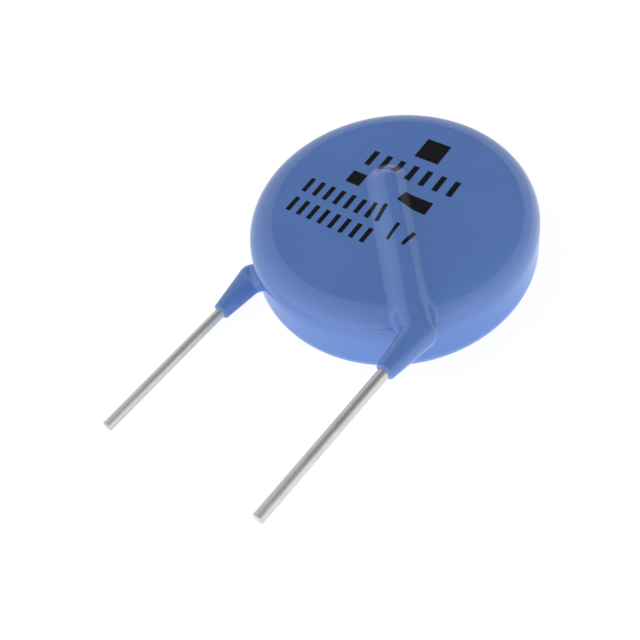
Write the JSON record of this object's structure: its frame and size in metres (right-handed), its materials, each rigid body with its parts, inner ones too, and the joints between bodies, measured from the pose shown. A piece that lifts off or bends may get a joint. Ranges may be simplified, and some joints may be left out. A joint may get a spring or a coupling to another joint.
{
  "type": "ceramic disc capacitor",
  "caption": "Radial ceramic disc capacitor: a round ceramic disc between silver electrodes, dipped in glossy blue epoxy, with wire leads that cross the faces as ridges.",
  "frame": {"origin": "under the middle of the overall box, on the lowest plane, where the ridge of the underside rests", "axes": "+Z out of the marked face, +Y from the lead tips towards the disc, X along the spacing of the leads, with the lead of the marked face at +X"},
  "size_m": [0.016, 0.0258, 0.0057],
  "materials": {
    "epoxy": "smooth glossy mid blue epoxy, dipped and cured",
    "ceramic": "fired unglazed titanate ceramic, buff brown",
    "silver": "matt fired silver layer",
    "solder": "satin tin solder",
    "tinned_wire": "satin tin plating on drawn copper wire",
    "marking_ink": "cured black ink printed on the marked face"
  },
  "bodies": {
    "root": {"epoxy_coating": "epoxy", "ceramic_disc": "ceramic", "top_electrode": "silver", "bottom_electrode": "silver", "top_solder": "solder", "bottom_solder": "solder", "top_lead": "tinned_wire", "bottom_lead": "tinned_wire"}
  },
  "joints": []
}
